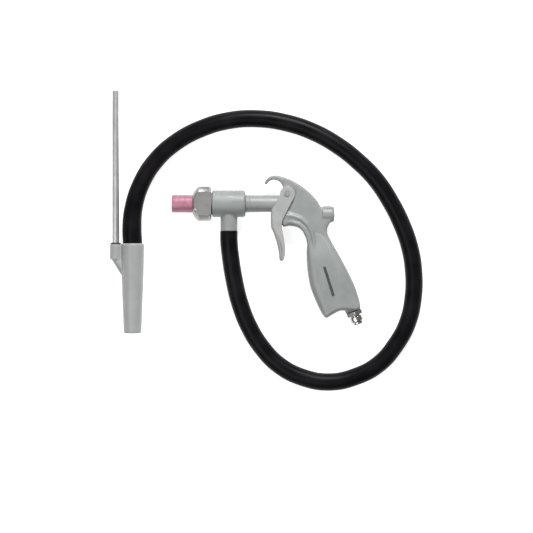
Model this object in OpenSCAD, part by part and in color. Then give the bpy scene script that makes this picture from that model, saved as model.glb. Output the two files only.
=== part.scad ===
// Suction-feed sandblasting gun with its feed hose and pick-up lance, lying on its side.
// +X runs from the nozzle back to the grip, +Y from the grip up to the hook, +Z up from the surface.
// The origin is at the middle of the gun's base. Units are millimetres.

/* [Gun] */
// Height of the gun's middle plane above the surface
axis_z = 15; // [15:0.5:18]
// Distance from the gun's middle to the barrel's axis
barrel_y = 53; // [53:0.5:54]
// Overall thickness of the grip
grip_t = 25; // [22:0.5:28]
// Thickness of the head where the trigger's cheeks pass
head_t = 19; // [18:0.5:19]
// Thickness of the flat web between the head's ribs
web_t = 15.5; // [15:0.5:17]

/* [Nozzle and nut] */
// Outer diameter of the ceramic nozzle
nozzle_d = 20; // [18:0.5:20]
// Diameter of the blast bore
nozzle_bore = 6; // [4:0.5:8]
// Length of the nozzle in front of its nut
nozzle_reach = 23.4; // [18:0.2:30]
// Outer diameter of the clamping nut
nut_d = 38.4; // [36:0.2:40]
// Distance across the nut's two wrench flats
nut_flats = 28; // [28:0.5:30]

/* [Mixing tee] */
// Outer diameter of the tee
tee_d = 30; // [28:0.5:30]
// Length of the tee
tee_len = 37.2; // [36:0.2:40]
// Outer diameter of the hose port
port_d = 18.8; // [18:0.2:20]

/* [Barrel] */
// Barrel diameter at the tee
barrel_front_d = 19.6; // [18.6:0.2:20]
// Barrel diameter at the head
barrel_rear_d = 18.4; // [17.6:0.2:18.6]

/* [Trigger] */
// Overall width across the trigger's cheeks
trigger_w = 24; // [23.6:0.2:25]
// Thickness of the cheeks
cheek_t = 2; // [1.6:0.2:2]
// Diameter of the pivot pin
pin_d = 4; // [3:0.5:4]

/* [Air plug] */
// Diameter of the plug's collar
plug_d = 14; // [12:0.5:15]
// Hexagon size of the plug, across flats
plug_hex = 17; // [16:0.5:18]

/* [Hose and lance] */
// Outer diameter of the feed hose
hose_d = 19.6; // [18.8:0.2:20]
// Length of the lance
lance_len = 100.6; // [90:1:120]
// Lance diameter at its mouth for the hose
lance_top_d = 26; // [25:0.5:26]
// Lance diameter at its tip
lance_tip_d = 19.6; // [18:0.2:20]
// Diameter of the thin air tube
air_tube_d = 8; // [7:0.5:8]

/* [Hidden] */
$fn = 64;

gap = 0.3;                                  // running gap between pieces that move
slide_gap = 0.05;                           // gap round shafts that slide in a bearing
thread_gap = 0.1;                           // how much narrower a plain thread is than its hole

cast_grey = [0.66, 0.68, 0.67];
plain_grey = [0.74, 0.74, 0.73];
nickel = [0.78, 0.78, 0.76];
steel = [0.60, 0.61, 0.62];
rubber_black = [0.05, 0.05, 0.06];
ceramic_pink = [0.84, 0.52, 0.62];
mark_grey = [0.20, 0.21, 0.22];
brass = [0.78, 0.62, 0.30];
lance_grey = [0.70, 0.71, 0.71];

// places along the barrel's axis
tee_x = -44;
tee_front = tee_x - tee_len / 2;
tee_rear = tee_x + tee_len / 2;
nut_rear = tee_front - 1.1;
nut_len = 20.9;
nut_front = nut_rear - nut_len;
nozzle_front = nut_front - nozzle_reach;
head_front = 13;
spigot_d = 24;
spigot_front = nut_rear - 11;
tenon_d = 15;                               // barrel's threaded ends
tenon_len = 12;
air_bore = 7;

// the nozzle's clamping ring fills the space between the spigot and the nut's shoulder
ring_len = 3.2;
nut_shoulder = spigot_front - ring_len - gap;

// trigger, its pin and the valve that it pushes
pin_x = 21;
pin_y = 64.5;
valve_y = 39;
stem_d = 4;
gland_front = 13.2;
stem_front = 7.4;
button_front = 3.6;
button_d = 4.6;
valve_bore = 10.5;
seat_x = 34;
chamber_end = 62;
spur_end = 73.8;
cap_d = 11.2;
cap_ring_t = 1;

// air plug, screwed in square to the grip's foot
plug_x = 95;
plug_y = -66;
plug_turn = -68.5;
plug_thread_d = 13.2;
plug_seat = 1;
washer_t = 1;

// port, hose and lance
port_end = barrel_y - 30.9;
lance_x = -152;
lance_top = 8.5;
lance_z = lance_top_d / 2;
socket_depth = 22;
lug_x = lance_x - 19;
lug_d = 13;
air_tube_top = 179.4;

// Outline points are [x, y, edge radius]. A loop runs clockwise, seen from above.
web_loop = [
    [13.5, 31, 1], [13.5, 50, 1], [13.8, 62, 1], [16.4, 70, 1], [17, 77, 1], [21, 80.9, 1.5],
    [31, 76.4, 3], [44, 67.4, 3], [54, 57, 3], [59, 49.6, 3], [65, 50.2, 2.5], [70, 49.8, 2.5],
    [73.2, 46.4, 2], [73.8, 41, 2], [72.8, 35.4, 2], [69.6, 32.2, 2.5], [66, 25, 4],
    [66.8, 17.5, 4], [71.6, 8, 4], [74, -8, 4],
    [66, -18, 4], [54, -16, 4], [47, -4, 4], [45, 10, 4], [41.8, 21, 3], [34, 27, 3],
    [24, 29.2, 2], [15, 29.2, 1]
];
rib_loop = [
    [17, 44.5, 2], [28, 43.4, 3], [38, 39.5, 3], [46, 32.5, 3], [52, 22, 3], [56, 9, 3], [60, -6, 3],
    [66, -22, 3], [68, -38, 3], [60, -46, 3], [52, -42, 4], [47, -28, 4], [44.6, -8, 5], [43.6, 8, 5],
    [41, 19, 5], [33.8, 26, 5], [24, 28.2, 4], [16.4, 28.2, 1.5]
];
grip_loop = [
    [46.4, 17, 4], [51.5, 23, 6], [58, 24, 8], [65, 19, 7.5], [72.4, 7.6, 6], [80.5, -6.5, 9],
    [88.5, -21.5, 9], [96.5, -38.5, 9], [101, -52, 9], [103.2, -62, 5], [100, -66.4, 3],
    [91, -67.2, 4], [80.5, -67, 4], [72, -71, 4], [65, -74.8, 3], [60, -70, 5], [52, -53, 9],
    [47, -39, 9], [44, -22, 9], [43, -4, 6], [44, 10, 4]
];
hook_loop = [
    [26, 72, 2], [20, 69.5, 2], [16.4, 71.8, 1.6], [14.2, 76, 1.6], [10.4, 78.8, 1.4],
    [6, 79.7, 1.4], [1.6, 78.3, 1.4], [-1, 75.4, 1], [-3, 74.2, 0.8], [-4, 76.6, 1],
    [-1.6, 80.6, 1.4], [2.5, 83.4, 1.4], [8.5, 84.6, 1.6], [16, 83, 2], [22, 80.6, 2]
];

// The hose's centre line: from the port it drops to the surface, loops round the gun and ends in the lance.
hose_z = hose_d / 2 + 0.1;
hose_route = [
    [tee_x, port_end, axis_z], [tee_x, port_end - 10, axis_z], [-42, -8, 13], [-38, -33, 10.8],
    [-32, -58, hose_z], [-22, -84, hose_z], [-8, -107, hose_z], [12, -128, hose_z],
    [39, -142, hose_z], [69, -147, hose_z], [98, -141, hose_z], [124, -127, hose_z],
    [144, -104, hose_z], [157, -80, hose_z], [163.5, -52, hose_z], [164, -23, hose_z],
    [159, 4, hose_z], [150, 30, hose_z], [137, 56, hose_z], [121, 80, hose_z], [101, 100.5, hose_z],
    [78, 118.5, hose_z], [50, 134, hose_z], [20, 144, hose_z], [-12, 148.5, hose_z],
    [-44, 146.5, hose_z], [-75, 137.5, hose_z], [-103, 122.5, hose_z], [-126.4, 101.4, 10.2],
    [-142.8, 75, 11], [-151, 48, 12.3], [lance_x - 0.7, 24, lance_z],
    [lance_x, lance_top, lance_z], [lance_x, lance_top - socket_depth + 1, lance_z]
];
// Growth of the hose's radius where its end is stretched into the lance
hose_flare = 1.1;
hose_sides = 12;

// ---------- functions ----------

function at(list, i) = list[(i + len(list)) % len(list)];

// Point at fraction t of the smooth curve from b to c
function curve_point(a, b, c, d, t) =
    0.5 * (2 * b + (c - a) * t + (2 * a - 5 * b + 4 * c - d) * t * t + (3 * b - a - 3 * c + d) * t * t * t);

// Closed smooth curve through the loop's points
function smooth_loop(loop, steps) = [
    for (i = [0:len(loop) - 1], s = [0:steps - 1])
        curve_point(at(loop, i - 1), at(loop, i), at(loop, i + 1), at(loop, i + 2), s / steps)
];

function unit(v) = v / norm(v);

// Direction out of a clockwise loop at point i
function outward(loop, i) =
    let (along = at(loop, i + 1) - at(loop, i - 1))
    unit([-along[1], along[0]]);

// The loop drawn in by a share of each point's edge radius
function inset(loop, share) = [
    for (i = [0:len(loop) - 1])
        let (step = outward(loop, i) * loop[i][2] * share)
        [loop[i][0] - step[0], loop[i][1] - step[1]]
];

// Smallest-twist frames carried along a path: each is [position, side direction]
function carry(side, tangent) = unit(side - tangent * (side * tangent));

function path_tangent(path, i) =
    unit(path[min(i + 1, len(path) - 1)] - path[max(i - 1, 0)]);

// ---------- helpers ----------

// Solid through rings that all have the same number of points, with flat ends
module skin_rings(rings) {
    n = len(rings[0]);
    last = (len(rings) - 1) * n;
    sides = [
        for (k = [0:len(rings) - 2], i = [0:n - 1], tri = [0, 1])
            let (a = k * n + i, b = k * n + (i + 1) % n)
            tri == 0 ? [a, b, b + n] : [a, b + n, a + n]
    ];
    polyhedron(
        [for (ring = rings) each ring],
        concat([[for (i = [n - 1:-1:0]) i]], sides, [[for (i = [0:n - 1]) last + i]])
    );
}

// Slab of a loop's outline at the gun's middle plane. Its edge is rounded in flat steps to edge_r.
module rounded_slab(loop, thickness, edge_r, steps) {
    outline = smooth_loop(loop, 2);
    for (k = [0:steps]) {
        angle = 90 * k / steps;
        level_t = thickness - 2 * edge_r * (1 - sin(angle));
        translate([0, 0, axis_z - level_t / 2])
            linear_extrude(level_t)
                polygon(inset(outline, 1 - cos(angle)));
    }
}

// Places its children with their Z axis along the gun's +X, at x on a line at height y
module along_x(x, y) {
    translate([x, y, axis_z])
        rotate([0, 90, 0])
            children();
}

module tube(d, bore, h) {
    difference() {
        cylinder(h = h, d = d);
        translate([0, 0, -1])
            cylinder(h = h + 2, d = bore);
    }
}

// Places its children at the air plug's seat, with their Z axis pointing out of the grip
module at_plug() {
    translate([plug_x, plug_y, axis_z])
        rotate([0, 90, plug_turn])
            children();
}

// ---------- the gun's body ----------

// Outer shape of the casting
module body_casting() {
    rounded_slab(web_loop, web_t, 2, 2);
    rounded_slab(rib_loop, head_t, 4, 3);
    rounded_slab(grip_loop, grip_t, 8.5, 4);
    rounded_slab(hook_loop, 12, 1.5, 1);
}

module gun_body() {
    boss_d = 19;
    color(cast_grey)
    difference() {
        union() {
            body_casting();
            // flat boss that carries the trigger's pin
            translate([pin_x, pin_y, axis_z - head_t / 2])
                cylinder(h = head_t, d = 15);
            // round seat of the barrel and of the rear cap
            along_x(head_front, barrel_y)
                cylinder(h = 12, d = boss_d);
            along_x(spur_end - 13, valve_y + 2) {
                cylinder(h = 9.8, d = 18.6);
                translate([0, 0, 9.8])
                    cylinder(h = 3.2, d1 = 18.6, d2 = 15.8);
            }
            // round seat of the air plug
            at_plug()
                translate([0, 0, -8])
                    cylinder(h = 8 + plug_seat, d = 18);
        }
        // thread for the barrel's rear end, and the air way behind it
        along_x(head_front - 1, barrel_y)
            cylinder(h = tenon_len + 1, d = tenon_d);
        along_x(head_front, barrel_y)
            cylinder(h = 36 - head_front, d = air_bore);
        translate([32.5, valve_y, axis_z])
            rotate([-90, 0, 0])
                cylinder(h = barrel_y - valve_y, d = 5);
        // valve chamber, its seat and the two threads at its ends
        along_x(head_front - 1, valve_y)
            cylinder(h = 12, d = valve_bore);
        along_x(head_front, valve_y)
            cylinder(h = seat_x - head_front, d = 6.4);
        along_x(seat_x, valve_y)
            cylinder(h = spur_end - seat_x - 5, d = valve_bore);
        along_x(chamber_end, valve_y)
            cylinder(h = 20, d = cap_d);
        // trigger pin
        translate([pin_x, pin_y, 0])
            cylinder(h = 40, d = pin_d);
        // air way up the grip, and the plug's thread and flat seat
        at_plug() {
            translate([0, 0, -14])
                cylinder(h = 30, d = plug_thread_d);
            translate([0, 0, plug_seat])
                cylinder(h = 10, d = 22);
        }
        air_way([91, -54.5], [57, 12], 7);
        air_way([57, 12], [55, valve_y], 7);
    }
}

// Round passage between two points of the gun's middle plane
module air_way(from, to, d) {
    run = to - from;
    translate([from[0], from[1], axis_z])
        rotate([0, 90, atan2(run[1], run[0])])
            translate([0, 0, -d / 3])
                cylinder(h = norm(run) + d / 1.5, d = d);
}

module grip_mark() {
    mark_len = 34;
    color(mark_grey)
    translate([67.6, -34, axis_z + grip_t / 2])
        rotate([0, 0, -72.5])
            translate([-mark_len / 2, -1.5, 0])
                cube([mark_len, 3, 0.3]);
}

// ---------- air plug ----------

module inlet_washer() {
    color(rubber_black)
    at_plug()
        translate([0, 0, plug_seat])
            tube(16.6, plug_thread_d, washer_t);
}

module inlet_plug() {
    hex_top = plug_seat + washer_t + 4.6;
    neck_d = 10.6;
    tip_d = 11;
    color(nickel)
    at_plug()
        difference() {
            union() {
                translate([0, 0, -9])
                    cylinder(h = 9 + hex_top, d = plug_thread_d - thread_gap);
                translate([0, 0, plug_seat + washer_t])
                    cylinder(h = 4.6, d = plug_hex / cos(30), $fn = 6);
                // groove between the hexagon and the collar
                translate([0, 0, hex_top])
                    cylinder(h = 2.4, d = neck_d);
                translate([0, 0, hex_top + 1])
                    cylinder(h = 0.8, d1 = neck_d, d2 = plug_d);
                translate([0, 0, hex_top + 1.8])
                    cylinder(h = 5, d = plug_d);
                translate([0, 0, hex_top + 6.8])
                    cylinder(h = 1.2, d1 = plug_d, d2 = tip_d);
                translate([0, 0, hex_top + 8])
                    cylinder(h = 1.8, d = tip_d);
                translate([0, 0, hex_top + 9.8])
                    cylinder(h = 0.8, d1 = tip_d, d2 = tip_d - 1.6);
            }
            translate([0, 0, -10])
                cylinder(h = 40, d = 6);
        }
}

// ---------- trigger and its pin ----------

module trigger_pin() {
    color(steel)
    translate([pin_x, pin_y, axis_z - trigger_w / 2 - 1.6])
        cylinder(h = trigger_w + 3.2, d = pin_d - 2 * slide_gap);
}

module pin_clip(z) {
    color(steel)
    translate([pin_x, pin_y, z])
        tube(7, pin_d - 2 * slide_gap, 0.8);
}

module pin_clip_top() {
    pin_clip(axis_z + trigger_w / 2 + 0.2);
}

module pin_clip_bottom() {
    pin_clip(axis_z - trigger_w / 2 - 1);
}

// Side view of the trigger: ear round the pin, cheek and finger blade
trigger_loop = [
    [21, 71.3], [25.6, 70], [29.6, 66.4], [29.2, 60.5], [24.8, 52], [20.6, 43.5], [16.8, 36], [15.2, 30],
    [15.4, 25], [17.2, 16], [18.6, 6], [18.8, -3], [17.4, -9.4], [15, -11], [12.8, -9.6], [11.8, -1],
    [10.2, 7], [7.8, 15], [5.2, 22.4], [3.4, 26], [2.8, 36], [3.4, 45.5], [7.6, 52.6], [12, 60.5],
    [14.2, 66], [17, 70]
];

module trigger_shape() {
    polygon([for (p = smooth_loop(trigger_loop, 4)) [p[0], p[1]]]);
}

module trigger() {
    inner = trigger_w - 2 * cheek_t;
    web_y = 43;
    color(plain_grey)
    difference() {
        translate([0, 0, axis_z - trigger_w / 2])
            linear_extrude(trigger_w)
                trigger_shape();
        // channel between the cheeks, behind the front web
        translate([0, 0, axis_z - inner / 2])
            linear_extrude(inner)
                polygon([
                    [-20, web_y], [6, web_y], [5.8, 36], [6.2, 27], [7.6, 22.6], [10.2, 15.6], [12.6, 7.6],
                    [14.2, -1], [15, -7.5], [40, -7.5], [40, 80], [-20, 80]
                ]);
        // blade narrows towards the tip
        for (side = [-1, 1])
            translate([0, 0, axis_z + side * (trigger_w / 2 + 3)])
                rotate([side * 5.2, 0, 0])
                    translate([-10, -60, -3 + side * 0.6])
                        cube([60, 84, 6]);
        // pivot hole
        translate([pin_x, pin_y, 0])
            cylinder(h = 40, d = pin_d);
        // seat of the push button
        along_x(0, valve_y)
            cylinder(h = 20, d = button_d);
    }
}

module push_button() {
    color(steel)
    along_x(button_front, valve_y)
        cylinder(h = stem_front - 0.2 - button_front, d = button_d);
}

// ---------- valve ----------

module valve_gland() {
    color(brass)
    difference() {
        along_x(gland_front, valve_y)
            cylinder(h = head_front + 11 - gland_front, d = valve_bore - thread_gap);
        // screwdriver slot across its face
        translate([gland_front - 1, valve_y - valve_bore, axis_z - 0.8])
            cube([2.2, 2 * valve_bore, 1.6]);
        along_x(gland_front - 1, valve_y)
            cylinder(h = 20, d = stem_d + 2 * slide_gap);
        along_x(19, valve_y)
            cylinder(h = 6, d = 8);
    }
}

module gland_ring() {
    color(rubber_black)
    along_x(20, valve_y)
        tube(8, stem_d + 2 * slide_gap, 2.4);
}

module valve_stem() {
    color(steel) {
        along_x(stem_front, valve_y)
            cylinder(h = seat_x + 4 - stem_front, d = stem_d);
        along_x(seat_x + 1.6, valve_y)
            cylinder(h = 2.4, d = valve_bore - 2 * gap - 0.4);
        along_x(seat_x + 4, valve_y)
            cylinder(h = 4, d = 4);
    }
}

module valve_seal() {
    color(rubber_black)
    along_x(seat_x + 0.05, valve_y)
        tube(9.2, stem_d, 1.55);
}

// Closing spring, drawn as rings at its coils
module valve_spring() {
    coils = 8;
    wire_d = 1.1;
    first = seat_x + 4 + wire_d / 2;
    last = chamber_end + cap_ring_t - wire_d / 2;
    color(steel)
    for (i = [0:coils - 1])
        along_x(first + (last - first) * i / (coils - 1), valve_y)
            rotate_extrude()
                translate([3.4, 0])
                    circle(d = wire_d, $fn = 24);
}

module valve_cap() {
    color(nickel)
    difference() {
        union() {
            along_x(chamber_end + cap_ring_t, valve_y)
                cylinder(h = spur_end - 3 - chamber_end - cap_ring_t, d = cap_d - thread_gap);
            along_x(spur_end - 3, valve_y) {
                cylinder(h = 2.4, d = cap_d - 0.6);
                translate([0, 0, 2.4])
                    cylinder(h = 1, d1 = cap_d - 0.6, d2 = cap_d - 3);
            }
        }
        along_x(spur_end - 2, valve_y)
            cylinder(h = 4, d = 6.9, $fn = 6);
    }
}

module cap_ring() {
    color(rubber_black)
    along_x(chamber_end, valve_y)
        tube(cap_d, cap_d - 3, cap_ring_t);
}

// ---------- barrel, jet and tee ----------

module barrel_tube() {
    color(cast_grey)
    difference() {
        union() {
            along_x(tee_rear, barrel_y)
                cylinder(h = head_front - 1 - tee_rear, d1 = barrel_front_d, d2 = barrel_rear_d);
            along_x(tee_rear - tenon_len, barrel_y)
                cylinder(h = tenon_len + 1, d = tenon_d - thread_gap);
            along_x(head_front - 2, barrel_y)
                cylinder(h = tenon_len + 1, d = tenon_d - thread_gap);
        }
        along_x(tee_rear - tenon_len - 1, barrel_y)
            cylinder(h = 80, d = air_bore);
    }
}

module barrel_ring() {
    color(rubber_black)
    along_x(head_front - 1, barrel_y)
        tube(17.4, tenon_d, 1);
}

module air_jet() {
    flange_x = tee_rear - tenon_len - 3;
    color(brass)
    difference() {
        union() {
            along_x(flange_x + 3, barrel_y)
                cylinder(h = 9, d = air_bore - thread_gap);
            along_x(flange_x, barrel_y)
                cylinder(h = 3, d = 12, $fn = 6);
            along_x(flange_x - 14, barrel_y)
                cylinder(h = 14, d1 = 5, d2 = 8.5);
        }
        along_x(flange_x - 15, barrel_y)
            cylinder(h = 30, d = 2.6);
    }
}

module tee_body() {
    chamber_d = 17;
    color(cast_grey)
    difference() {
        union() {
            along_x(tee_front, barrel_y) {
                cylinder(h = 1.2, d1 = tee_d - 2.4, d2 = tee_d);
                translate([0, 0, 1.2])
                    cylinder(h = tee_len - 3.6, d = tee_d);
                translate([0, 0, tee_len - 2.4])
                    cylinder(h = 2.4, d1 = tee_d, d2 = tee_d - 4.8);
            }
            along_x(spigot_front, barrel_y)
                cylinder(h = tee_front - spigot_front + 1, d = spigot_d);
            translate([tee_x, port_end, axis_z])
                rotate([-90, 0, 0])
                    cylinder(h = barrel_y - port_end, d = port_d);
        }
        // seat of the nozzle, mixing chamber and barrel thread
        along_x(spigot_front - 1, barrel_y)
            cylinder(h = tee_front - spigot_front + 3, d = nozzle_d + 2 * gap);
        along_x(tee_front, barrel_y)
            cylinder(h = tee_len - tenon_len, d = chamber_d);
        along_x(tee_rear - tenon_len - 1, barrel_y)
            cylinder(h = tenon_len + 5, d = tenon_d);
        // hose port, threaded for the barb
        translate([tee_x, port_end - 1, axis_z])
            rotate([-90, 0, 0])
                cylinder(h = barrel_y - port_end, d = 12.5);
    }
}

module hose_barb() {
    barb_d = 11;
    barbs = 4;
    color(nickel)
    translate([tee_x, port_end, axis_z])
        rotate([90, 0, 0])
            difference() {
                union() {
                    translate([0, 0, -12])
                        cylinder(h = 12, d = 12.5 - thread_gap);
                    for (i = [0:barbs - 1])
                        translate([0, 0, 5 * i])
                            cylinder(h = 5, d1 = barb_d + 1.6, d2 = barb_d);
                }
                translate([0, 0, -13])
                    cylinder(h = 40, d = 8.5);
            }
}

// ---------- nozzle and nut ----------

module ceramic_nozzle() {
    nozzle_len = tee_front - gap - nozzle_front;
    chamfer = 0.8;
    funnel_len = 14;
    color(ceramic_pink)
    along_x(nozzle_front, barrel_y)
        difference() {
            union() {
                cylinder(h = chamfer, d1 = nozzle_d - 2 * chamfer, d2 = nozzle_d);
                translate([0, 0, chamfer])
                    cylinder(h = nozzle_len - chamfer, d = nozzle_d);
            }
            translate([0, 0, -1])
                cylinder(h = nozzle_len + 2, d = nozzle_bore);
            translate([0, 0, nozzle_len - funnel_len])
                cylinder(h = funnel_len + 0.1, d1 = nozzle_bore, d2 = 15);
        }
}

module nozzle_ring() {
    color(rubber_black)
    along_x(spigot_front - gap / 2 - ring_len, barrel_y)
        tube(spigot_d, nozzle_d, ring_len);
}

module nozzle_nut() {
    dome_len = 5.8;
    collar_len = nut_len - dome_len - 1;
    color(nickel)
    difference() {
        intersection() {
            along_x(nut_front, barrel_y) {
                cylinder(h = 2.6, d1 = 22.5, d2 = 30);
                translate([0, 0, 2.6])
                    cylinder(h = dome_len - 2.6, d1 = 30, d2 = nut_d);
                translate([0, 0, dome_len])
                    cylinder(h = collar_len, d = nut_d);
                translate([0, 0, dome_len + collar_len])
                    cylinder(h = 1, d1 = nut_d, d2 = nut_d - 2);
            }
            // two flats for a wrench
            translate([nut_front - 1, barrel_y - nut_d, axis_z - nut_flats / 2])
                cube([nut_len + 2, 2 * nut_d, nut_flats]);
        }
        along_x(nut_front - 1, barrel_y)
            cylinder(h = 20, d = nozzle_d + 2 * gap);
        along_x(nut_shoulder, barrel_y)
            cylinder(h = 30, d = spigot_d + 2 * gap);
    }
}

// ---------- hose and lance ----------

function carried_sides(path, i, side) =
    i >= len(path) ? [] :
    let (here = carry(side, path_tangent(path, i)))
    concat([here], carried_sides(path, i + 1, here));

module hose() {
    sides = carried_sides(hose_route, 0, [1, 0, 0]);
    flare_from = len(hose_route) - 6;
    rings = [
        for (i = [0:len(hose_route) - 1])
            let (
                u = sides[i],
                v = cross(path_tangent(hose_route, i), u),
                share = min(1, max(0, (i - flare_from) / 3)),
                r = hose_d / 2 + hose_flare * share * share
            )
            [for (k = [0:hose_sides - 1])
                let (turn = -360 * k / hose_sides)
                hose_route[i] + r * (u * cos(turn) + v * sin(turn))]
    ];
    color(rubber_black)
    skin_rings(rings);
}

// Places its children with their Z axis along the lance, from its mouth towards the tip
module along_lance(x, depth) {
    translate([x, lance_top - depth, lance_z])
        rotate([90, 0, 0])
            children();
}

module lance_body() {
    straight = 30;
    color(lance_grey)
    difference() {
        union() {
            along_lance(lance_x, 0) {
                cylinder(h = 1.2, d1 = lance_top_d - 2.4, d2 = lance_top_d);
                translate([0, 0, 1.2])
                    cylinder(h = straight - 1.2, d1 = lance_top_d, d2 = lance_top_d - 1);
                translate([0, 0, straight])
                    cylinder(h = lance_len - straight, d1 = lance_top_d - 1, d2 = lance_tip_d);
            }
            // lug for the air tube, and the slope that joins it to the lance
            along_lance(lug_x, 0.8)
                cylinder(h = 16, d = lug_d);
            hull() {
                along_lance(lug_x, 16)
                    cylinder(h = 0.8, d = lug_d, $fn = 32);
                along_lance(lug_x + 12, 34)
                    cylinder(h = 1, d = lug_d - 3, $fn = 32);
            }
            translate([lug_x, lance_top - 16.8, lance_z - 4])
                cube([lance_x - lug_x, 15, 8]);
        }
        along_lance(lance_x, -1)
            cylinder(h = socket_depth + 1, d = hose_d + 2 * hose_flare + 0.4);
        along_lance(lance_x, 0)
            cylinder(h = lance_len + 1, d = 13);
        along_lance(lug_x, -1)
            cylinder(h = 15, d = air_tube_d + 0.1);
        // air way from the lug into the lance
        translate([lug_x, lance_top - 13, lance_z])
            rotate([90, 0, 45])
                cylinder(h = 21, d = 5);
    }
}

module lance_air_tube() {
    color(plain_grey)
    translate([lug_x, lance_top - 12, lance_z])
        rotate([-90, 0, 0])
            tube(air_tube_d, air_tube_d - 1.6, air_tube_top - lance_top + 12);
}

module air_tube_grommet() {
    color(rubber_black)
    translate([lug_x, lance_top - 0.8, lance_z])
        rotate([-90, 0, 0])
            tube(lug_d - 1.6, air_tube_d, 1.4);
}

gun_body();
inlet_plug();
inlet_washer();
trigger_pin();
pin_clip_top();
pin_clip_bottom();
valve_gland();
gland_ring();
valve_cap();
cap_ring();
valve_spring();
barrel_tube();
barrel_ring();
air_jet();
tee_body();
hose_barb();
grip_mark();
trigger();
push_button();
valve_stem();
valve_seal();
ceramic_nozzle();
nozzle_ring();
nozzle_nut();
hose();
lance_body();
lance_air_tube();
air_tube_grommet();
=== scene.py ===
"""Looks of a suction-feed sandblasting gun with its feed hose and pick-up lance."""
import math

import bmesh
import bpy
import numpy as np
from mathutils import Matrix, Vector


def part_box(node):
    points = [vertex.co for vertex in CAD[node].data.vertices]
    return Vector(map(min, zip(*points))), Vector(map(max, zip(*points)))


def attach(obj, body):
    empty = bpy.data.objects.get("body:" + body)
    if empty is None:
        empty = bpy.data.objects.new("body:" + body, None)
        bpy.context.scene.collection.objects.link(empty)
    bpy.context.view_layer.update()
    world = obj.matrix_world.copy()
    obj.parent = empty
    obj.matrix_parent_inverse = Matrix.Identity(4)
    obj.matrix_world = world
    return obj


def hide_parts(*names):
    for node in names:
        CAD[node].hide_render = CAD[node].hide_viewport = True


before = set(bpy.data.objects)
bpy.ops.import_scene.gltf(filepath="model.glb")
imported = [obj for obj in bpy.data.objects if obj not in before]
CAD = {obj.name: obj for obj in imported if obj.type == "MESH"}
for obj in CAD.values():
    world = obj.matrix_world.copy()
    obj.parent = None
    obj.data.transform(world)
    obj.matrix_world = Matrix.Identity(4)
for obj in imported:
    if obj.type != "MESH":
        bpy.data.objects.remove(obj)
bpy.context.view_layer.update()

MM = 0.001


def middle(node):
    """Centre of a CAD node's box, in millimetres."""
    low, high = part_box(node)
    return (Vector(low) + Vector(high)) / 2 / MM


def span(node, axis):
    """Lowest and highest place of a CAD node along one axis, in millimetres."""
    low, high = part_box(node)
    return low[axis] / MM, high[axis] / MM


# Driving places in millimetres, from the frame where the CAD node shows them.
AXIS_Z = middle("barrel_tube").z
BARREL_Y = middle("barrel_tube").y
VALVE_Y = middle("valve_stem").y
TEE_FRONT = span("nozzle_nut", 0)[1] + 1.1
TEE_REAR = span("tee_body", 0)[1]
TEE_D = span("tee_body", 2)[1] - span("tee_body", 2)[0]
PORT_END = span("tee_body", 1)[0]
PORT_X = middle("hose_barb").x
HEAD_FRONT = span("barrel_ring", 0)[1]
GRIP_T = span("gun_body", 2)[1] - span("gun_body", 2)[0]
PIN = middle("trigger_pin")
SPUR_END = span("valve_cap", 0)[1] - 0.4
# The air plug screws into the grip's foot here, along this direction.
PLUG_SEAT = Vector((95, -66, AXIS_Z))
PLUG_TURN = math.radians(-68.5)
PLUG_WAY = Vector((math.cos(PLUG_TURN), math.sin(PLUG_TURN), 0))
LANCE_TOP = span("lance_body", 1)[1]
LANCE_TIP = span("lance_body", 1)[0]
LANCE_Z = middle("lance_body").z
LANCE_X = span("lance_body", 0)[1] - LANCE_Z
LUG_X = middle("lance_air_tube").x
# The hose lies this high on the surface, and its radius grows by the flare towards the lance.
HOSE_D = 19.6
HOSE_Z = HOSE_D / 2 + 0.1
HOSE_FLARE = 1.1


# ---------- camera, light and floor ----------

def make_camera():
    """Looks straight down on the object, with the gun's hook at the top."""
    view_middle = Vector((-1.9, -17.4, AXIS_Z)) * MM
    view_width = 0.597
    lens, sensor = 135, 36
    data = bpy.data.cameras.new("camera")
    data.lens = lens
    data.sensor_width = sensor
    camera = bpy.data.objects.new("camera", data)
    camera.location = view_middle + Vector((0, 0, view_width * lens / sensor))
    camera.rotation_euler = (0, 0, 0)
    bpy.context.scene.collection.objects.link(camera)
    bpy.context.scene.camera = camera


def area_light(name, place, size, power):
    """A round lamp that looks at the gun."""
    data = bpy.data.lights.new(name, "AREA")
    data.shape = "DISK"
    data.size = size
    data.energy = power
    light = bpy.data.objects.new(name, data)
    light.location = place
    light.rotation_euler = (-Vector(place)).to_track_quat("-Z", "Y").to_euler()
    bpy.context.scene.collection.objects.link(light)


def make_studio():
    """A white light table under a dim room, with the key light beyond the gun's hook."""
    bpy.context.scene.view_settings.view_transform = "Standard"
    world = bpy.data.worlds.new("studio")
    world.use_nodes = True
    background = world.node_tree.nodes["Background"]
    background.inputs["Color"].default_value = (1, 1, 1, 1)
    background.inputs["Strength"].default_value = 0.2
    bpy.context.scene.world = world
    area_light("key", (0.3, 1.45, 1.15), 0.7, 40)
    area_light("fill", (-0.7, -0.6, 1.6), 1.3, 13)

    floor_size = 12
    floor = mesh_object("studio_floor", *grid_square(floor_size))
    floor.data.materials.append(floor_material())


def grid_square(size):
    half = size / 2
    return [(-half, -half, 0), (half, -half, 0), (half, half, 0), (-half, half, 0)], [(0, 1, 2, 3)]


# ---------- materials ----------

def new_material(name, colour, roughness, metallic=0.0, coat=0.0, coat_roughness=0.1):
    """A material and its shader."""
    material = bpy.data.materials.new(name)
    material.use_nodes = True
    nodes = material.node_tree.nodes
    shader = nodes["Principled BSDF"]
    shader.inputs["Base Color"].default_value = (*colour, 1)
    shader.inputs["Roughness"].default_value = roughness
    shader.inputs["Metallic"].default_value = metallic
    shader.inputs["Coat Weight"].default_value = coat
    shader.inputs["Coat Roughness"].default_value = coat_roughness
    return material, shader


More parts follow.
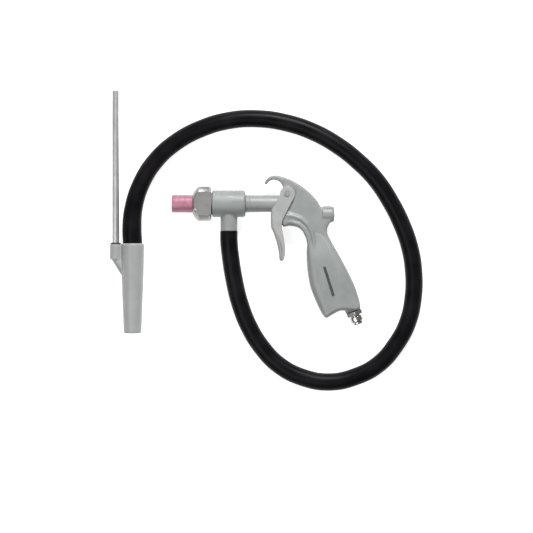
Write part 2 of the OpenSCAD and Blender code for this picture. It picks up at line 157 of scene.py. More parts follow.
def add(material, kind, **values):
    """A shader node with its sockets or settings given by name."""
    node = material.node_tree.nodes.new(kind)
    for key, value in values.items():
        if hasattr(node, key):
            setattr(node, key, value)
        else:
            node.inputs[key.replace("_", " ")].default_value = value
    return node


def join(material, source, socket, target, into):
    material.node_tree.links.new(source.outputs[socket], target.inputs[into])


def place_of(material, stretch=(1, 1, 1)):
    """Object coordinates in metres, stretched along the axes."""
    coordinates = add(material, "ShaderNodeTexCoord")
    mapping = add(material, "ShaderNodeMapping")
    mapping.inputs["Scale"].default_value = stretch
    join(material, coordinates, "Object", mapping, "Vector")
    return mapping


def noise(material, scale, detail=3.0, stretch=(1, 1, 1), roughness=0.5):
    texture = add(material, "ShaderNodeTexNoise", Scale=scale, Detail=detail, Roughness=roughness)
    join(material, place_of(material, stretch), "Vector", texture, "Vector")
    return texture


def ramp(material, source, socket, low, high, from_value=0.35, to_value=0.65):
    """Turns a texture's value into a colour between low and high."""
    node = add(material, "ShaderNodeValToRGB")
    node.color_ramp.elements[0].position = from_value
    node.color_ramp.elements[1].position = to_value
    node.color_ramp.elements[0].color = (*low, 1)
    node.color_ramp.elements[1].color = (*high, 1)
    join(material, source, socket, node, "Fac")
    return node


def spread(material, source, socket, low, high, from_value=0.3, to_value=0.7):
    """Turns a texture's value into a number between low and high."""
    node = add(material, "ShaderNodeMapRange")
    node.inputs["From Min"].default_value = from_value
    node.inputs["From Max"].default_value = to_value
    node.inputs["To Min"].default_value = low
    node.inputs["To Max"].default_value = high
    join(material, source, socket, node, "Value")
    return node


def bump(material, shader, source, socket, strength, distance):
    node = add(material, "ShaderNodeBump")
    node.inputs["Strength"].default_value = strength
    node.inputs["Distance"].default_value = distance
    join(material, source, socket, node, "Height")
    join(material, node, "Normal", shader, "Normal")


def shade(colour, factor):
    return tuple(min(1.0, part * factor) for part in colour)


def lacquer(name, colour, roughness):
    """Satin lacquer on a casting: faint orange peel, soft mottling, and bare metal on the sharpest edges."""
    bare_metal = (0.72, 0.73, 0.72)
    material, shader = new_material(name, colour, roughness, coat=0.08, coat_roughness=0.3)
    mottle = noise(material, 60, 4)
    tone = ramp(material, mottle, "Fac", shade(colour, 0.94), shade(colour, 1.05))
    edge = add(material, "ShaderNodeNewGeometry")
    worn = spread(material, edge, "Pointiness", 0.0, 0.55, 0.56, 0.64)
    scuff = noise(material, 420, 5)
    patchy = add(material, "ShaderNodeMath", operation="MULTIPLY")
    join(material, worn, "Result", patchy, 0)
    join(material, spread(material, scuff, "Fac", 0.0, 1.0, 0.42, 0.62), "Result", patchy, 1)
    mix = add(material, "ShaderNodeMix", data_type="RGBA")
    join(material, patchy, "Value", mix, "Factor")
    join(material, tone, "Color", mix, "A")
    mix.inputs["B"].default_value = (*bare_metal, 1)
    material.node_tree.links.new(mix.outputs["Result"], shader.inputs["Base Color"])
    peel = noise(material, 900, 2)
    join(material, spread(material, mottle, "Fac", roughness - 0.06, roughness + 0.08), "Result",
         shader, "Roughness")
    bump(material, shader, peel, "Fac", 0.35, 0.00012)
    return material


def turned(name, colour, roughness, metallic=1.0, stretch=(1500, 8, 8)):
    """Metal turned on a lathe: fine rings across the axis that stretch names, and light soiling."""
    material, shader = new_material(name, colour, roughness, metallic)
    rings = noise(material, 1.0, 2, stretch)
    soil = noise(material, 90, 4)
    tone = ramp(material, soil, "Fac", shade(colour, 0.88), shade(colour, 1.06))
    join(material, tone, "Color", shader, "Base Color")
    join(material, spread(material, rings, "Fac", roughness * 0.75, roughness * 1.35), "Result",
         shader, "Roughness")
    bump(material, shader, rings, "Fac", 0.25, 0.00004)
    return material


def plated(name, colour, roughness, metallic=1.0):
    """Plating with a slight haze and faint handling marks."""
    material, shader = new_material(name, colour, roughness, metallic)
    marks = noise(material, 260, 6, roughness=0.7)
    haze = noise(material, 45, 2)
    tone = ramp(material, haze, "Fac", shade(colour, 0.9), shade(colour, 1.08))
    join(material, tone, "Color", shader, "Base Color")
    join(material, spread(material, marks, "Fac", roughness * 0.85, roughness * 1.25), "Result",
         shader, "Roughness")
    bump(material, shader, marks, "Fac", 0.06, 0.00003)
    return material


def ceramic(name, colour):
    """Fired alumina: fine grain, slightly uneven colour and a soft glazed skin."""
    material, shader = new_material(name, colour, 0.42, coat=0.3, coat_roughness=0.2)
    cloud = noise(material, 130, 5)
    tone = ramp(material, cloud, "Fac", shade(colour, 0.88), shade(colour, 1.12), 0.3, 0.7)
    join(material, tone, "Color", shader, "Base Color")
    shader.inputs["Subsurface Weight"].default_value = 0.12
    shader.inputs["Subsurface Scale"].default_value = 0.002
    grain = noise(material, 2600, 3)
    join(material, spread(material, cloud, "Fac", 0.36, 0.5), "Result", shader, "Roughness")
    bump(material, shader, grain, "Fac", 0.3, 0.00006)
    return material


def hose_rubber(name):
    """Smooth extruded rubber with a fine grain and a little dust."""
    colour = (0.0055, 0.005, 0.006)
    material, shader = new_material(name, colour, 0.4)
    shader.inputs["Specular IOR Level"].default_value = 0.07
    dust = noise(material, 38, 6)
    tone = ramp(material, dust, "Fac", shade(colour, 0.8), shade(colour, 1.9), 0.4, 0.75)
    join(material, tone, "Color", shader, "Base Color")
    grain = noise(material, 700, 3)
    join(material, spread(material, dust, "Fac", 0.3, 0.42), "Result", shader, "Roughness")
    bump(material, shader, grain, "Fac", 0.1, 0.00005)
    return material


def seal_rubber(name):
    """Matt black rubber of rings and washers."""
    material, shader = new_material(name, (0.02, 0.02, 0.021), 0.6)
    grain = noise(material, 900, 4)
    tone = ramp(material, grain, "Fac", (0.015, 0.015, 0.016), (0.03, 0.03, 0.032))
    join(material, tone, "Color", shader, "Base Color")
    bump(material, shader, grain, "Fac", 0.4, 0.0001)
    return material


def print_ink(name):
    """Dark pad-printed ink, a little thin in places."""
    material, shader = new_material(name, (0.06, 0.07, 0.07), 0.5)
    thin = noise(material, 1500, 4)
    tone = ramp(material, thin, "Fac", (0.035, 0.04, 0.04), (0.12, 0.13, 0.13), 0.45, 0.8)
    join(material, tone, "Color", shader, "Base Color")
    bump(material, shader, thin, "Fac", 0.2, 0.00004)
    return material


def floor_material():
    """White acrylic lit from below."""
    material, shader = new_material("light_table", (0.63, 0.63, 0.63), 0.9)
    fibre = noise(material, 400, 3)
    tone = ramp(material, fibre, "Fac", (0.62, 0.62, 0.62), (0.64, 0.64, 0.64))
    join(material, tone, "Color", shader, "Base Color")
    shader.inputs["Emission Color"].default_value = (1, 1, 1, 1)
    shader.inputs["Emission Strength"].default_value = 0.78
    return material


# ---------- mesh helpers, all in millimetres ----------

def mesh_object(name, verts, faces):
    """An object in the scene with this mesh."""
    mesh = bpy.data.meshes.new(name)
    mesh.from_pydata([tuple(v) for v in verts], [], faces)
    mesh.update()
    obj = bpy.data.objects.new(name, mesh)
    bpy.context.scene.collection.objects.link(obj)
    return obj


def rounded_profile(corners):
    """A lathe profile of (place, radius) points from (place, radius, rounding) corners."""
    steps = 5
    points = []
    for i, (place, radius, rounding) in enumerate(corners):
        here = Vector((place, radius))
        if rounding == 0 or i in (0, len(corners) - 1):
            points.append(here)
            continue
        back = Vector(corners[i - 1][:2]) - here
        on = Vector(corners[i + 1][:2]) - here
        cut = min(rounding, back.length * 0.49, on.length * 0.49)
        start = here + back.normalized() * cut
        end = here + on.normalized() * cut
        for k in range(steps + 1):
            t = k / steps
            points.append(start * (1 - t) ** 2 + here * 2 * t * (1 - t) + end * t ** 2)
    return points


def turning(direction):
    """Rotation that takes +Z to a direction."""
    return Vector(direction).to_track_quat("Z", "Y").to_matrix()


def lathe(corners, start, direction, segments=96, limit=None):
    """Vertices and faces of a turned solid.

    limit(radius, angle, place, rise) gives the radius that is left there. Its rise is how far the outward
    direction points up, from -1 to 1.
    """
    profile = rounded_profile(corners)
    turn = turning(direction)
    start = Vector(start)
    verts, faces = [], []
    for place, radius in profile:
        for k in range(segments):
            angle = 2 * math.pi * k / segments
            out = turn @ Vector((math.cos(angle), math.sin(angle), 0))
            r = limit(radius, angle, place, out.z) if limit else radius
            verts.append(start + turn @ Vector((0, 0, place)) + out * r)
    rings = len(profile)
    for i in range(rings - 1):
        for k in range(segments):
            a, b = i * segments + k, i * segments + (k + 1) % segments
            faces.append((a, b, b + segments, a + segments))
    if (profile[0] - profile[-1]).length < 1e-6:
        faces = [tuple(v % ((rings - 1) * segments) for v in face) for face in faces]
        verts = verts[:(rings - 1) * segments]
    else:
        faces.append(tuple(range(segments - 1, -1, -1)))
        faces.append(tuple((rings - 1) * segments + k for k in range(segments)))
    return verts, faces


def merge(*solids):
    """Several solids' vertices and faces as one list."""
    verts, faces = [], []
    for more_verts, more_faces in solids:
        base = len(verts)
        verts += [Vector(v) for v in more_verts]
        faces += [tuple(base + i for i in face) for face in more_faces]
    return verts, faces


def smooth_loop(loop, steps):
    """Closed smooth curve through the points of an outline."""
    points = [np.array(p, float) for p in loop]
    count = len(points)
    out = []
    for i in range(count):
        a, b, c, d = (points[(i + k) % count] for k in (-1, 0, 1, 2))
        for s in range(steps):
            t = s / steps
            out.append(0.5 * (2 * b + (c - a) * t + (2 * a - 5 * b + 4 * c - d) * t ** 2
                              + (3 * b - a - 3 * c + d) * t ** 3))
    return np.array(out)


def drawn_in(outline, share):
    """A clockwise outline moved inwards by a share of each point's edge radius."""
    along = np.roll(outline[:, :2], -1, 0) - np.roll(outline[:, :2], 1, 0)
    outward = np.stack([-along[:, 1], along[:, 0]], 1)
    outward /= np.linalg.norm(outward, axis=1)[:, None]
    return outline[:, :2] - outward * outline[:, 2:3] * share


def rounded_slab(loop, thickness, edge_r):
    """A slab of an outline with rounded edges, about the gun's middle plane."""
    edge_steps = 8
    outline = smooth_loop(loop, 6)
    angles = [math.pi / 2 * k / edge_steps for k in range(edge_steps + 1)]
    rings = []
    for side, order in ((-1, reversed(angles)), (1, angles)):
        for angle in order:
            height = side * (thickness / 2 - edge_r * (1 - math.sin(angle)))
            ring = drawn_in(outline, 1 - math.cos(angle))
            rings.append([(x, y, AXIS_Z + height) for x, y in ring])
    count = len(outline)
    verts = [v for ring in rings for v in ring]
    faces = []
    for i in range(len(rings) - 1):
        for k in range(count):
            a, b = i * count + k, i * count + (k + 1) % count
            faces.append((a, a + count, b + count, b))
    faces.append(tuple(range(count)))
    faces.append(tuple((len(rings) - 1) * count + k for k in range(count - 1, -1, -1)))
    return verts, faces


def finish_mesh(obj):
    """Brings a mesh made in millimetres to metres, and turns its faces outwards."""
    bm = bmesh.new()
    bm.from_mesh(obj.data)
    bmesh.ops.triangulate(bm, faces=[f for f in bm.faces if len(f.verts) > 4])
    bmesh.ops.recalc_face_normals(bm, faces=bm.faces)
    bmesh.ops.scale(bm, vec=(MM, MM, MM), verts=bm.verts)
    bm.to_mesh(obj.data)
    bm.free()


def apply_modifiers(obj):
    """Makes the mesh that the modifiers give the object's own."""
    graph = bpy.context.evaluated_depsgraph_get()
    mesh = bpy.data.meshes.new_from_object(obj.evaluated_get(graph))
    old = obj.data
    obj.modifiers.clear()
    obj.data = mesh
    bpy.data.meshes.remove(old)
    mesh.name = obj.name


def smooth_by_angle(obj, degrees):
    """Smooth shading with sharp edges where faces turn by more than this."""
    obj.data.shade_smooth()
    obj.data.set_sharp_from_angle(angle=math.radians(degrees))


def cut_with(obj, cutters):
    """Bores machined into a casting, as crisp cuts."""
    tool = mesh_object(obj.name + "_cutter", *merge(*cutters))
    finish_mesh(tool)
    cut = obj.modifiers.new("bores", "BOOLEAN")
    cut.operation = "DIFFERENCE"
    cut.solver = "EXACT"
    cut.use_self = True
    cut.object = tool
    apply_modifiers(obj)
    bpy.data.objects.remove(tool)


def casting(name, solids, voxel, relax, cutters):
    """One cast skin over overlapping solids, with soft fillets where they meet, and then machined bores."""
    obj = mesh_object(name, *merge(*solids))
    finish_mesh(obj)
    remesh = obj.modifiers.new("skin", "REMESH")
    remesh.mode = "VOXEL"
    remesh.voxel_size = voxel * MM
    soften = obj.modifiers.new("fillets", "SMOOTH")
    soften.factor = 0.5
    soften.iterations = relax
    lighter = obj.modifiers.new("lighter", "DECIMATE")
    lighter.ratio = 0.5
    apply_modifiers(obj)
    cut_with(obj, cutters)
    smooth_by_angle(obj, 45)
    return obj


def turned_piece(name, corners, start, direction, segments=96, limit=None, sharp=35):
    """An object turned on a lathe."""
    obj = mesh_object(name, *lathe(corners, start, direction, segments, limit))
    finish_mesh(obj)
    smooth_by_angle(obj, sharp)
    return obj


def dress(obj, body, slot, material, *nodes):
    """Says which body a piece rides on, its material and the CAD nodes it stands for. Its slot is not used.
    """
    obj.data.materials.clear()
    obj.data.materials.append(material)
    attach(obj, body)
    if nodes:
        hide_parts(*nodes)


def rod(start, direction, length, radius):
    return lathe([(0, radius, 0), (length, radius, 0)], start, direction, 48)


# ---------- the gun's casting ----------

# Outlines of the casting's web, rib, grip and hook, the same as the CAD's. Their points are (x, y, edge
# radius), clockwise from above.
WEB = [
    (13.5, 31, 1), (13.5, 50, 1), (13.8, 62, 1), (16.4, 70, 1), (17, 77, 1), (21, 80.9, 1.5),
    (31, 76.4, 3), (44, 67.4, 3), (54, 57, 3), (59, 49.6, 3), (65, 50.2, 2.5), (70, 49.8, 2.5),
    (73.2, 46.4, 2), (73.8, 41, 2), (72.8, 35.4, 2), (69.6, 32.2, 2.5), (66, 25, 4), (66.8, 17.5, 4),
    (71.6, 8, 4), (74, -8, 4), (66, -18, 4), (54, -16, 4), (47, -4, 4), (45, 10, 4), (41.8, 21, 3),
    (34, 27, 3), (24, 29.2, 2), (15, 29.2, 1),
]
RIB = [
    (17, 44.5, 2), (28, 43.4, 3), (38, 39.5, 3), (46, 32.5, 3), (52, 22, 3), (56, 9, 3), (60, -6, 3),
    (66, -22, 3), (68, -38, 3), (60, -46, 3), (52, -42, 4), (47, -28, 4), (44.6, -8, 5), (43.6, 8, 5),
    (41, 19, 5), (33.8, 26, 5), (24, 28.2, 4), (16.4, 28.2, 1.5),
]
GRIP = [
    (46.4, 17, 4), (51.5, 23, 6), (58, 24, 8), (65, 19, 7.5), (72.4, 7.6, 6), (80.5, -6.5, 9),
    (88.5, -21.5, 9), (96.5, -38.5, 9), (101, -52, 9), (103.2, -62, 5), (100, -66.4, 3),
    (91, -67.2, 4), (80.5, -67, 4), (72, -71, 4), (65, -74.8, 3), (60, -70, 5), (52, -53, 9),
    (47, -39, 9), (44, -22, 9), (43, -4, 6), (44, 10, 4),
]
HOOK = [
    (26, 72, 2), (20, 69.5, 2), (16.4, 71.8, 1.6), (14.2, 76, 1.6), (10.4, 78.8, 1.4),
    (6, 79.7, 1.4), (1.6, 78.3, 1.4), (-1, 75.4, 1), (-3, 74.2, 0.8), (-4, 76.6, 1), (-1.6, 80.6, 1.4),
    (2.5, 83.4, 1.4), (8.5, 84.6, 1.6), (16, 83, 2), (22, 80.6, 2),
]


def thinned(solid, full_y, thin_y, share):
    """A slab's vertices drawn towards the middle plane, from none at full_y to a share of it at thin_y."""
    verts, faces = solid
    out = []
    for x, y, z in verts:
        t = min(1, max(0, (y - full_y) / (thin_y - full_y)))
        t = t * t * (3 - 2 * t)
        out.append((x, y, AXIS_Z + (z - AXIS_Z) * (1 + (share - 1) * t)))
    return out, faces


def rolled_rim(path):
    """A rounded bead along a path of (x, y, radius, height above the middle plane) points."""
    points = [np.array(p, float) for p in path]
    balls = []
    for a, b in zip(points, points[1:]):
        for k in range(6):
            x, y, r, lift = a + (b - a) * k / 6
            ball = [(-r, 0.05, 0), (-r * 0.7, r * 0.71, 0), (0, r, 0), (r * 0.7, r * 0.71, 0), (r, 0.05, 0)]
            for side in (-1, 1):
                balls.append(lathe(ball, (x, y, AXIS_Z + side * lift), (0, 0, 1), 20))
    return merge(*balls)


# The two rolled rims under the head, as (x, y, radius, height above the middle plane) points.
UPPER_RIM = [
    (19, 39.6, 2.6, 7), (28, 38.8, 2.8, 7.3), (37, 35.8, 2.9, 7.7), (43.6, 30, 2.9, 7.8),
    (48.4, 22, 2.8, 7.9), (50.8, 12, 2.6, 8.2), (51.6, 0, 2.2, 8.6),
]
LOWER_RIM = [
    (18, 32.6, 3, 6.2), (27, 32.2, 3.2, 6.4), (34.8, 29.8, 3.2, 6.6), (41.2, 23.8, 3.2, 6.8),
    (45.2, 15, 3, 7), (46.8, 5, 2.8, 7), (47.2, -6, 2.4, 7),
]


def make_gun_body():
    """Casting of head, hook, spur and grip, with its bores for the barrel, valve, cap, pin and plug."""
    along = Vector((1, 0, 0))
    head_t = 19
    solids = [
        rounded_slab(WEB, 15.5, 2),
        rounded_slab(RIB, 17.6, 4),
        thinned(rounded_slab(GRIP, GRIP_T, 8.5), -14, 20, 0.66),
        rolled_rim(UPPER_RIM),
        rolled_rim(LOWER_RIM),
        rounded_slab(HOOK, 12, 3),
        rod((PIN.x, PIN.y, AXIS_Z - head_t / 2), (0, 0, 1), head_t, 7.5),
        rod((HEAD_FRONT, BARREL_Y, AXIS_Z), along, 12, 9.5),
        lathe([(0, 9.3, 0), (9, 9.3, 0), (11, 9, 0), (12.4, 8.4, 0), (13, 7.8, 0)],
              (SPUR_END - 13, VALVE_Y + 2, AXIS_Z), along, 64),
        rod(PLUG_SEAT - PLUG_WAY * 8, PLUG_WAY, 9, 9),
    ]
    cutters = [
        rod((HEAD_FRONT - 5, BARREL_Y, AXIS_Z), along, 17, 7.5),
        rod((HEAD_FRONT - 5, VALVE_Y, AXIS_Z), along, 16, 5.3),
        rod((SPUR_END - 12, VALVE_Y, AXIS_Z), along, 20, 5.65),
        rod((PIN.x, PIN.y, 0), (0, 0, 1), 40, 2),
        rod(PLUG_SEAT - PLUG_WAY * 14, PLUG_WAY, 30, 6.65),
        rod(PLUG_SEAT + PLUG_WAY, PLUG_WAY, 12, 11),
    ]
    body = casting("cast_gun_body", solids, 0.5, 8, cutters)
    dress(body, "gun", "cast_body", MATERIALS["cast_body"], "gun_body")


def make_tee():
    """Mixing body: a bored tube with a collar for the nut and a port for the hose."""
    along = Vector((1, 0, 0))
    length = TEE_REAR - TEE_FRONT
    r = TEE_D / 2
    solids = [
        lathe([(0, 0.01, 0), (0, r, 1.6), (length, r, 3.4), (length, 0.01, 0)],
              (TEE_FRONT, BARREL_Y, AXIS_Z), along),
        rod((TEE_FRONT - 13.6, BARREL_Y, AXIS_Z), along, 16, 12),
        lathe([(0, 0.01, 0), (0, 9.4, 0.8), (25, 9.4, 0), (25, 0.01, 0)],
              (PORT_X, PORT_END, AXIS_Z), (0, 1, 0)),
    ]
    cutters = [
        rod((TEE_FRONT - 16, BARREL_Y, AXIS_Z), along, 18, 10.3),
        rod((TEE_FRONT, BARREL_Y, AXIS_Z), along, length - 12, 8.5),
        rod((TEE_REAR - 13, BARREL_Y, AXIS_Z), along, 20, 7.5),
        rod((PORT_X, PORT_END - 5, AXIS_Z), (0, 1, 0), 33, 6.3),
    ]
    tee = casting("cast_tee", solids, 0.45, 5, cutters)
    dress(tee, "gun", "cast_tee", MATERIALS["cast_tee"], "tee_body")


def make_lance():
    """Pick-up lance: a tapered tube with a lug beside it, and a sloping boss from the lug towards the tube.
    """
    down = Vector((0, -1, 0))
    length = LANCE_TOP - LANCE_TIP
    slope_start = Vector((LUG_X, LANCE_TOP - 15, LANCE_Z))
    slope_end = Vector((LUG_X + 12, LANCE_TOP - 35, LANCE_Z))
    slope = slope_end - slope_start
    solids = [
        lathe([(0, 0.01, 0), (0, 13, 2), (30, 12.5, 6), (length, 9.8, 1.4), (length, 0.01, 0)],
              (LANCE_X, LANCE_TOP, LANCE_Z), down),
        lathe([(0, 0.01, 0), (0, 6.5, 1.2), (17, 6.5, 0), (17, 0.01, 0)],
              (LUG_X, LANCE_TOP - 0.8, LANCE_Z), down),
        lathe([(-3, 5.5, 0), (slope.length, 5, 0)], slope_start, slope.normalized()),
        box_solid((LUG_X, LANCE_TOP - 17, LANCE_Z - 4), (LANCE_X, LANCE_TOP - 2, LANCE_Z + 4)),
    ]
    cutters = [
        rod((LANCE_X, LANCE_TOP + 5, LANCE_Z), down, 27, HOSE_D / 2 + HOSE_FLARE + 0.2),
        rod((LANCE_X, LANCE_TOP - 15, LANCE_Z), down, length, 6.5),
        rod((LUG_X, LANCE_TOP + 5, LANCE_Z), down, 20, 4.05),
    ]
    lance = casting("cast_lance", solids, 0.55, 8, cutters)
    dress(lance, "gun", "lance_metal", MATERIALS["lance_metal"], "lance_body")
    return lance


def box_solid(low, high):
    """Vertices and faces of a box."""
    (x0, y0, z0), (x1, y1, z1) = low, high
    verts = [(x, y, z) for z in (z0, z1) for y in (y0, y1) for x in (x0, x1)]
    faces = [(0, 2, 3, 1), (4, 5, 7, 6), (0, 1, 5, 4), (2, 6, 7, 3), (0, 4, 6, 2), (1, 3, 7, 5)]
    return verts, faces


# ---------- turned pieces ----------

def make_nut():
    """Clamping nut: polished dome, fine straight knurl, two wrench flats and a bored inside."""
    front, rear = span("nozzle_nut", 0)
    low, high = span("nozzle_nut", 1)
    under, top = span("nozzle_nut", 2)
    length = rear - front
    r = (high - low) / 2 + 0.08
    flat = (top - under) / 2
    knurls, knurl_depth = 72, 0.35
    knurl_from, knurl_to = 7.2, length - 2.2

    def limit(radius, angle, place, rise):
        if radius > 18 and knurl_from < place < knurl_to:
            fade = min(1, (place - knurl_from) / 0.6, (knurl_to - place) / 0.6)
            radius -= knurl_depth * fade * (0.5 + 0.5 * math.cos(knurls * angle))
        if radius > 13:
            radius = min(radius, flat / max(abs(rise), 0.1))
        return radius

    corners = [
        (0, 10.35, 0), (0, 11.3, 0.5), (0.9, 13, 0), (2.2, 15.2, 0), (3.8, 17.1, 0), (5.2, 18.4, 0.8),
        (6.2, r, 0.3), (knurl_from, r, 0), (knurl_from + 0.7, r, 0), (knurl_to - 0.7, r, 0),
        (knurl_to, r, 0), (length - 1.2, r, 0.5), (length, r - 1.2, 0.5), (length, 12.3, 0.3),
        (5.2, 12.3, 0.2), (5.2, 10.35, 0), (0, 10.35, 0),
    ]
    nut = turned_piece("knurled_nut", corners, (front, BARREL_Y, AXIS_Z), (1, 0, 0), knurls * 8, limit)
    dress(nut, "nut", "nickel", MATERIALS["nut_nickel"], "nozzle_nut")


def make_nozzle():
    """Blast nozzle with fine turned lines and a bore that widens to the rear."""
    front, rear = span("ceramic_nozzle", 0)
    length = rear - front
    corners = [
        (0, 3, 0), (0, 9.9, 1.4), (7.0, 9.95, 0.3), (7.4, 9.75, 0.2), (7.9, 9.95, 0.3), (13.6, 10, 0.3),
        (14.1, 9.7, 0.2), (14.7, 10, 0.3), (20.4, 10, 0.3), (20.9, 9.7, 0.2), (21.5, 10, 0.3),
        (length, 10, 0.6), (length, 7.4, 0.4), (length - 14, 3, 2), (0, 3, 0),
    ]
    nozzle = turned_piece("pink_nozzle", corners, (front, BARREL_Y, AXIS_Z), (1, 0, 0), 96)
    dress(nozzle, "nozzle", "pink_ceramic", MATERIALS["pink_ceramic"], "ceramic_nozzle")


def make_barrel():
    """Air barrel between the head and the tee."""
    front, rear = TEE_REAR - 12, span("barrel_tube", 0)[1]
    length = rear - front
    corners = [
        (0, 3.5, 0), (0, 7.5, 0.6), (12, 7.5, 0), (12, 9.75, 0.5), (16, 9.8, 0.2), (16.6, 9.5, 0.1),
        (17.2, 9.72, 0.2), (49.4, 9.2, 0.5), (49.4, 7.5, 0), (length, 7.5, 0.6), (length, 3.5, 0),
        (0, 3.5, 0),
    ]
    barrel = turned_piece("air_barrel", corners, (front, BARREL_Y, AXIS_Z), (1, 0, 0), 96)
    dress(barrel, "gun", "barrel_aluminium", MATERIALS["barrel_aluminium"], "barrel_tube")


def make_plug():
    """Quick-connect plug: threaded end, hexagon, groove, wide collar and a bored tip."""
    hex_from, hex_to = 2.0, 6.6
    hex_r = 8.5

    def limit(radius, angle, place, _rise):
        if hex_from <= place <= hex_to and radius > 8.7:
            sector = math.pi / 3
            off = (angle + sector / 2) % sector - sector / 2
            return min(radius, hex_r / math.cos(off))
        return radius

    bore, thread, neck, collar, tip = 3, 6.55, 5.3, 7, 5.5
    corners = [
        (-9, bore, 0), (-9, thread, 0.6), (hex_from, thread, 0), (hex_from, 8.7, 0), (hex_from + 0.01, 9, 0),
        (hex_from + 0.6, 9.75, 0.2), (hex_to - 0.9, 9.75, 0.3), (hex_to, 8.7, 0.2), (hex_to + 0.01, 6.4, 0),
        (hex_to + 0.2, neck, 0.3), (hex_to + 1, neck, 0.3), (hex_to + 1.7, collar, 0.3),
        (hex_to + 6.7, collar, 0.6), (hex_to + 8, tip, 0.4), (hex_to + 9.8, tip, 0.4),
        (hex_to + 10.6, 4.7, 0.2), (hex_to + 10.6, bore, 0.2), (-9, bore, 0),
    ]
    plug = turned_piece("air_plug", corners, PLUG_SEAT, PLUG_WAY, 96, limit, 30)
    dress(plug, "gun", "nickel", MATERIALS["nickel"], "inlet_plug")


def make_air_tube():
    """Thin air tube in the lance's lug."""
    bottom, top = span("lance_air_tube", 1)
    length = top - bottom
    bore, r = 3.2, 4
    corners = [(0, bore, 0), (0, r, 0.3), (length, r, 0.5), (length, bore, 0.3), (0, bore, 0)]
    tube = turned_piece("air_tube", corners, (LUG_X, bottom, LANCE_Z), (0, 1, 0), 64)
    dress(tube, "gun", "tube_metal", MATERIALS["tube_metal"], "lance_air_tube")
    return tube


# ---------- trigger ----------

# The lever's front edge as (y, x) points, from the tip up to the ear.
TRIGGER_FRONT = [
    (-11, 13.4), (-9.6, 12.8), (-1, 11.8), (7, 10.2), (15, 7.8), (22.4, 5.2), (26, 3.4), (36, 2.8),
    (45.5, 3.4), (52.6, 7.6), (60.5, 12), (66, 14.2), (71, 20),
]


def folded_front(place):
    """Height of a lever's point once its cheeks are folded round into the front with a soft bend."""
    x, y, z = place
    ys, xs = zip(*TRIGGER_FRONT)
    bend_r = float(np.interp(y, (-8, 0, 50, 60), (2, 3.4, 3.4, 1)))
    half_width = float(np.interp(y, (-11, 24), (8.9, 12)))
    # the front edge leans, so the distance from it is a little less than along x
    depth = 0.85 * (x - float(np.interp(y, ys, xs)))
    if depth >= bend_r:
        return z
    drop = bend_r - math.sqrt(max(0.0, bend_r ** 2 - (bend_r - max(0.0, depth)) ** 2))
    return AXIS_Z + math.copysign(min(abs(z - AXIS_Z), half_width - drop), z - AXIS_Z)


def make_trigger():
    """The CAD lever's own shape with the soft edges of a pressed and tumbled part."""
    source = CAD["trigger"]
    mesh = source.data.copy()
    trigger = bpy.data.objects.new("pressed_trigger", mesh)
    bpy.context.scene.collection.objects.link(trigger)
    trigger.matrix_world = source.matrix_world.copy()
    remesh = trigger.modifiers.new("skin", "REMESH")
    remesh.mode = "VOXEL"
    remesh.voxel_size = 0.34 * MM
    apply_modifiers(trigger)
    for vertex in trigger.data.vertices:
        vertex.co.z = folded_front(vertex.co / MM) * MM
    soften = trigger.modifiers.new("edges", "SMOOTH")
    soften.factor = 0.5
    soften.iterations = 4
    lighter = trigger.modifiers.new("lighter", "DECIMATE")
    lighter.ratio = 0.5
    apply_modifiers(trigger)
    smooth_by_angle(trigger, 50)
    dress(trigger, "trigger", "trigger_metal", MATERIALS["trigger_metal"], "trigger")


# ---------- hose ----------

# The hose's centre line in millimetres, from the port round the gun to the lance.
HOSE_ROUTE = [
    (PORT_X, PORT_END, AXIS_Z), (PORT_X, PORT_END - 10, AXIS_Z), (-42, -8, 13), (-38, -33, 10.8),
    (-32, -58, HOSE_Z), (-22, -84, HOSE_Z), (-8, -107, HOSE_Z), (12, -128, HOSE_Z),
    (39, -142, HOSE_Z), (69, -147, HOSE_Z), (98, -141, HOSE_Z), (124, -127, HOSE_Z),
    (144, -104, HOSE_Z), (156.6, -80, HOSE_Z), (162.8, -52, HOSE_Z), (163.3, -23, HOSE_Z),
    (159, 4, HOSE_Z), (150, 30, HOSE_Z), (137, 56, HOSE_Z), (121, 80, HOSE_Z), (101, 100.5, HOSE_Z),
    (78, 118.5, HOSE_Z), (50, 134, HOSE_Z), (20, 144, HOSE_Z), (-12, 148.5, HOSE_Z),
    (-44, 146.5, HOSE_Z), (-75, 137.5, HOSE_Z), (-103, 122.5, HOSE_Z), (-126.4, 101.4, 10.2),
    (-142.8, 75, 11), (-151, 48, 12.3), (LANCE_X - 0.7, 24, LANCE_Z), (LANCE_X, LANCE_TOP, LANCE_Z),
    (LANCE_X, LANCE_TOP - 21, LANCE_Z),
]


def make_hose():
    """Hose along its route, a little wider over its last points, where it goes into the lance."""
    data = bpy.data.curves.new("feed_hose", "CURVE")
    data.dimensions = "3D"
    data.bevel_depth = HOSE_D / 2 * MM
    data.bevel_resolution = 10
    data.use_fill_caps = True
    data.resolution_u = 10
    spline = data.splines.new("BEZIER")
    spline.bezier_points.add(len(HOSE_ROUTE) - 1)
    flare_from = len(HOSE_ROUTE) - 6
    for i, (point, place) in enumerate(zip(spline.bezier_points, HOSE_ROUTE)):
        share = min(1, max(0, (i - flare_from) / 3))
        point.radius = 1 + HOSE_FLARE * share ** 2 / (HOSE_D / 2)
        point.co = Vector(place) * MM
        point.handle_left_type = "AUTO"
        point.handle_right_type = "AUTO"
    hose = bpy.data.objects.new("feed_hose", data)
    bpy.context.scene.collection.objects.link(hose)
    dress(hose, "gun", "hose_rubber", MATERIALS["hose_rubber"], "hose")
    Vector(HOSE_ROUTE[0]) * MM


# ---------- CAD nodes that keep their shape ----------

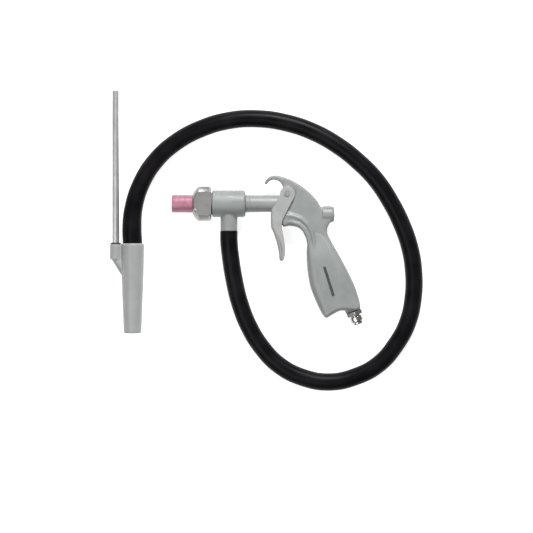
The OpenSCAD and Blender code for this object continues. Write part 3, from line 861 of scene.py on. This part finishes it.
def dress_cad_nodes():
    """Gives each carried-over node its material, and a fine bevel on the machined edges of a few of them."""
    looks = {
        "inlet_washer": "seal_rubber", "trigger_pin": "steel", "pin_clip_top": "steel",
        "pin_clip_bottom": "steel", "valve_gland": "brass", "gland_ring": "seal_rubber",
        "valve_cap": "nickel", "cap_ring": "seal_rubber", "valve_spring": "steel",
        "barrel_ring": "seal_rubber", "air_jet": "brass", "hose_barb": "nickel", "grip_mark": "mark_ink",
        "push_button": "steel", "valve_stem": "steel", "valve_seal": "seal_rubber",
        "nozzle_ring": "seal_rubber", "air_tube_grommet": "seal_rubber",
    }
    bevelled = ("trigger_pin", "valve_cap", "push_button", "air_tube_grommet", "pin_clip_top")
    for name, material in looks.items():
        node = CAD[name]
        if not node.material_slots:
            node.data.materials.append(MATERIALS[material])
        for place in node.material_slots:
            place.material = MATERIALS[material]
        if name in bevelled:
            bevel = node.modifiers.new("edge", "BEVEL")
            bevel.width = 0.25 * MM
            bevel.segments = 3
            bevel.limit_method = "ANGLE"


# ---------- the whole scene ----------

MATERIALS = {
    "cast_body": lacquer("cast_body_lacquer", (0.275, 0.29, 0.285), 0.42),
    "cast_tee": lacquer("cast_tee_lacquer", (0.28, 0.298, 0.293), 0.5),
    "trigger_metal": lacquer("trigger_lacquer", (0.37, 0.375, 0.37), 0.38),
    "lance_metal": lacquer("lance_lacquer", (0.34, 0.345, 0.345), 0.4),
    "barrel_aluminium": lacquer("barrel_lacquer", (0.285, 0.29, 0.29), 0.42),
    "tube_metal": turned("drawn_tube", (0.62, 0.62, 0.62), 0.34, 0.7, (900, 4, 900)),
    "nickel": plated("bright_nickel", (0.55, 0.545, 0.53), 0.22),
    "nut_nickel": plated("satin_nickel", (0.4, 0.4, 0.395), 0.34, 0.85),
    "steel": turned("ground_steel", (0.6, 0.6, 0.61), 0.34, 0.8),
    "brass": turned("turned_brass", (0.66, 0.47, 0.2), 0.3),
    "seal_rubber": seal_rubber("nitrile_rubber"),
    "hose_rubber": hose_rubber("hose_rubber"),
    "pink_ceramic": ceramic("pink_alumina", (0.44, 0.18, 0.25)),
    "mark_ink": print_ink("mark_ink"),
}

make_camera()
lance = make_lance()
air_tube = make_air_tube()
make_hose()
make_gun_body()
make_tee()
make_barrel()
make_nut()
make_nozzle()
make_plug()
make_trigger()
dress_cad_nodes()
make_studio()
